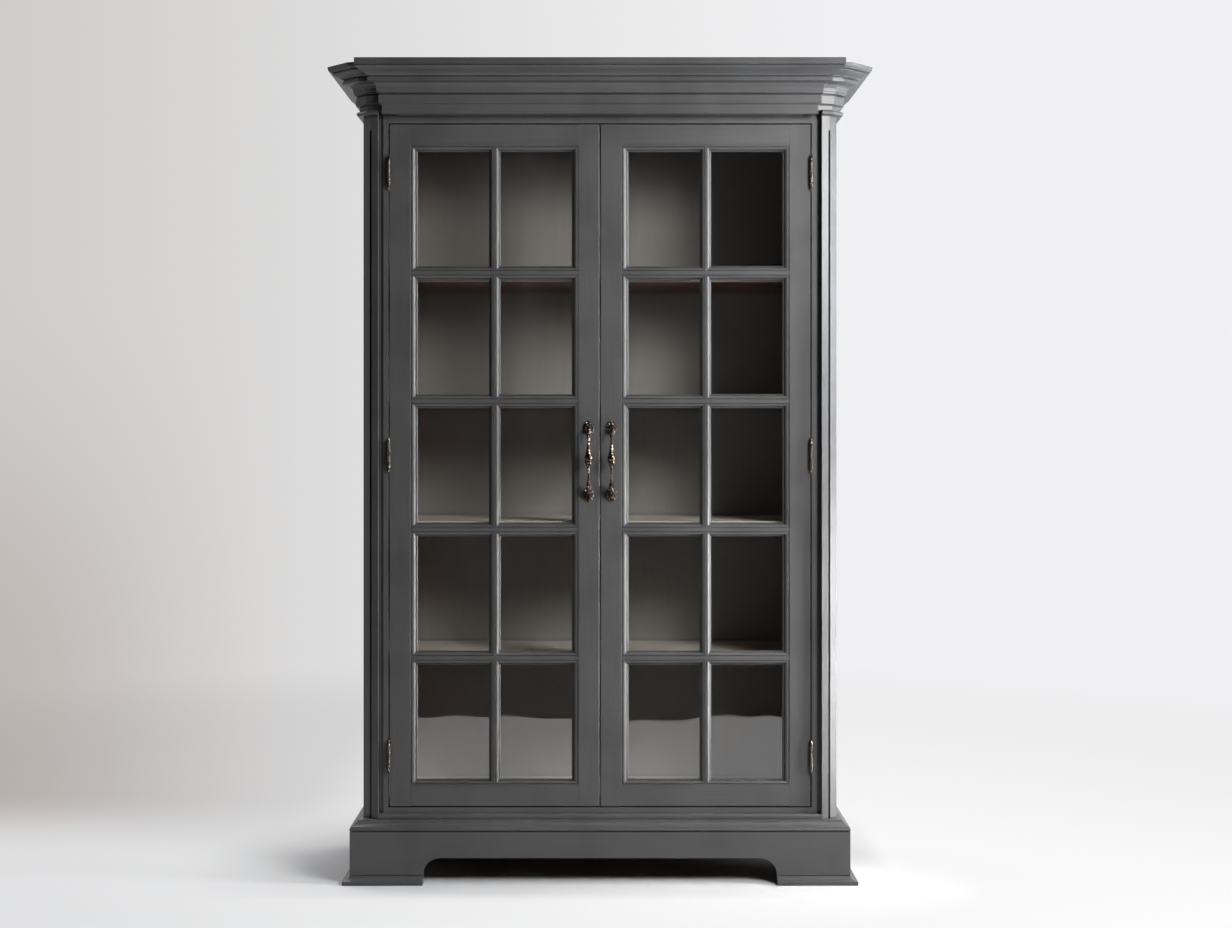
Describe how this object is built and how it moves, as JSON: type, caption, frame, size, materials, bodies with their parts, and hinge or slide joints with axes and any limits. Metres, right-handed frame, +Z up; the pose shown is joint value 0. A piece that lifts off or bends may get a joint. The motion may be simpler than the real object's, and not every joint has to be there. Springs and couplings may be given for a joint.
{
  "type": "glazed display cabinet",
  "caption": "Tall glazed display cabinet with inset hinged doors, glazing bars, fixed shelves, a stepped moulded cornice and a bracket plinth.",
  "frame": {"origin": "centre of the bounding box's base, on the floor", "axes": "+Z up, +X to the viewer's right when facing the doors, -Y out of the front (the doors face -Y), +Y towards the wall"},
  "size_m": [1.379, 0.52, 2.069],
  "materials": {
    "charcoal_paint": "wood under satin charcoal-grey paint",
    "cream_paint": "wood under matt cream paint",
    "grey_lining": "board under matt grey paint",
    "clear_glass": "clear float glass",
    "aged_bronze": "cast bronze, aged dark with rubbed high spots"
  },
  "bodies": {
    "carcass": {"side_panel_left": "charcoal_paint", "side_panel_right": "charcoal_paint", "back_panel": "grey_lining", "top_board": "grey_lining", "bottom_board": "cream_paint", "corner_post_left": "charcoal_paint", "corner_post_right": "charcoal_paint", "face_frame": "charcoal_paint", "cornice": "charcoal_paint", "top_panel": "charcoal_paint", "plinth": "charcoal_paint", "base_moulding": "charcoal_paint", "shelf_1": "cream_paint", "shelf_2": "cream_paint", "shelf_3": "cream_paint", "shelf_4": "cream_paint", "left_door_frame_leaf_bottom": "aged_bronze", "left_door_frame_leaf_middle": "aged_bronze", "left_door_frame_leaf_top": "aged_bronze", "right_door_frame_leaf_bottom": "aged_bronze", "right_door_frame_leaf_middle": "aged_bronze", "right_door_frame_leaf_top": "aged_bronze"},
    "left_door": {"left_door_hinge_stile": "charcoal_paint", "left_door_meeting_stile": "charcoal_paint", "left_door_top_rail": "charcoal_paint", "left_door_bottom_rail": "charcoal_paint", "left_door_glazing_bars": "charcoal_paint", "left_door_pane_1a": "clear_glass", "left_door_pane_1b": "clear_glass", "left_door_pane_2a": "clear_glass", "left_door_pane_2b": "clear_glass", "left_door_pane_3a": "clear_glass", "left_door_pane_3b": "clear_glass", "left_door_pane_4a": "clear_glass", "left_door_pane_4b": "clear_glass", "left_door_pane_5a": "clear_glass", "left_door_pane_5b": "clear_glass", "left_door_pull": "aged_bronze", "left_door_hinge_leaf_bottom": "aged_bronze", "left_door_hinge_leaf_middle": "aged_bronze", "left_door_hinge_leaf_top": "aged_bronze"},
    "right_door": {"right_door_hinge_stile": "charcoal_paint", "right_door_meeting_stile": "charcoal_paint", "right_door_top_rail": "charcoal_paint", "right_door_bottom_rail": "charcoal_paint", "right_door_glazing_bars": "charcoal_paint", "right_door_pane_1a": "clear_glass", "right_door_pane_1b": "clear_glass", "right_door_pane_2a": "clear_glass", "right_door_pane_2b": "clear_glass", "right_door_pane_3a": "clear_glass", "right_door_pane_3b": "clear_glass", "right_door_pane_4a": "clear_glass", "right_door_pane_4b": "clear_glass", "right_door_pane_5a": "clear_glass", "right_door_pane_5b": "clear_glass", "right_door_pull": "aged_bronze", "right_door_hinge_leaf_bottom": "aged_bronze", "right_door_hinge_leaf_middle": "aged_bronze", "right_door_hinge_leaf_top": "aged_bronze"}
  },
  "joints": [
    {"name": "left_door_hinge", "type": "hinge", "parent": "carcass", "child": "left_door", "pos_m": [-0.5356, -0.1656, 1.0526], "axis": [0, 0, -1], "range_deg": [0, 160]},
    {"name": "right_door_hinge", "type": "hinge", "parent": "carcass", "child": "right_door", "pos_m": [0.5356, -0.1656, 1.0526], "axis": [0, 0, 1], "range_deg": [0, 160]}
  ]
}
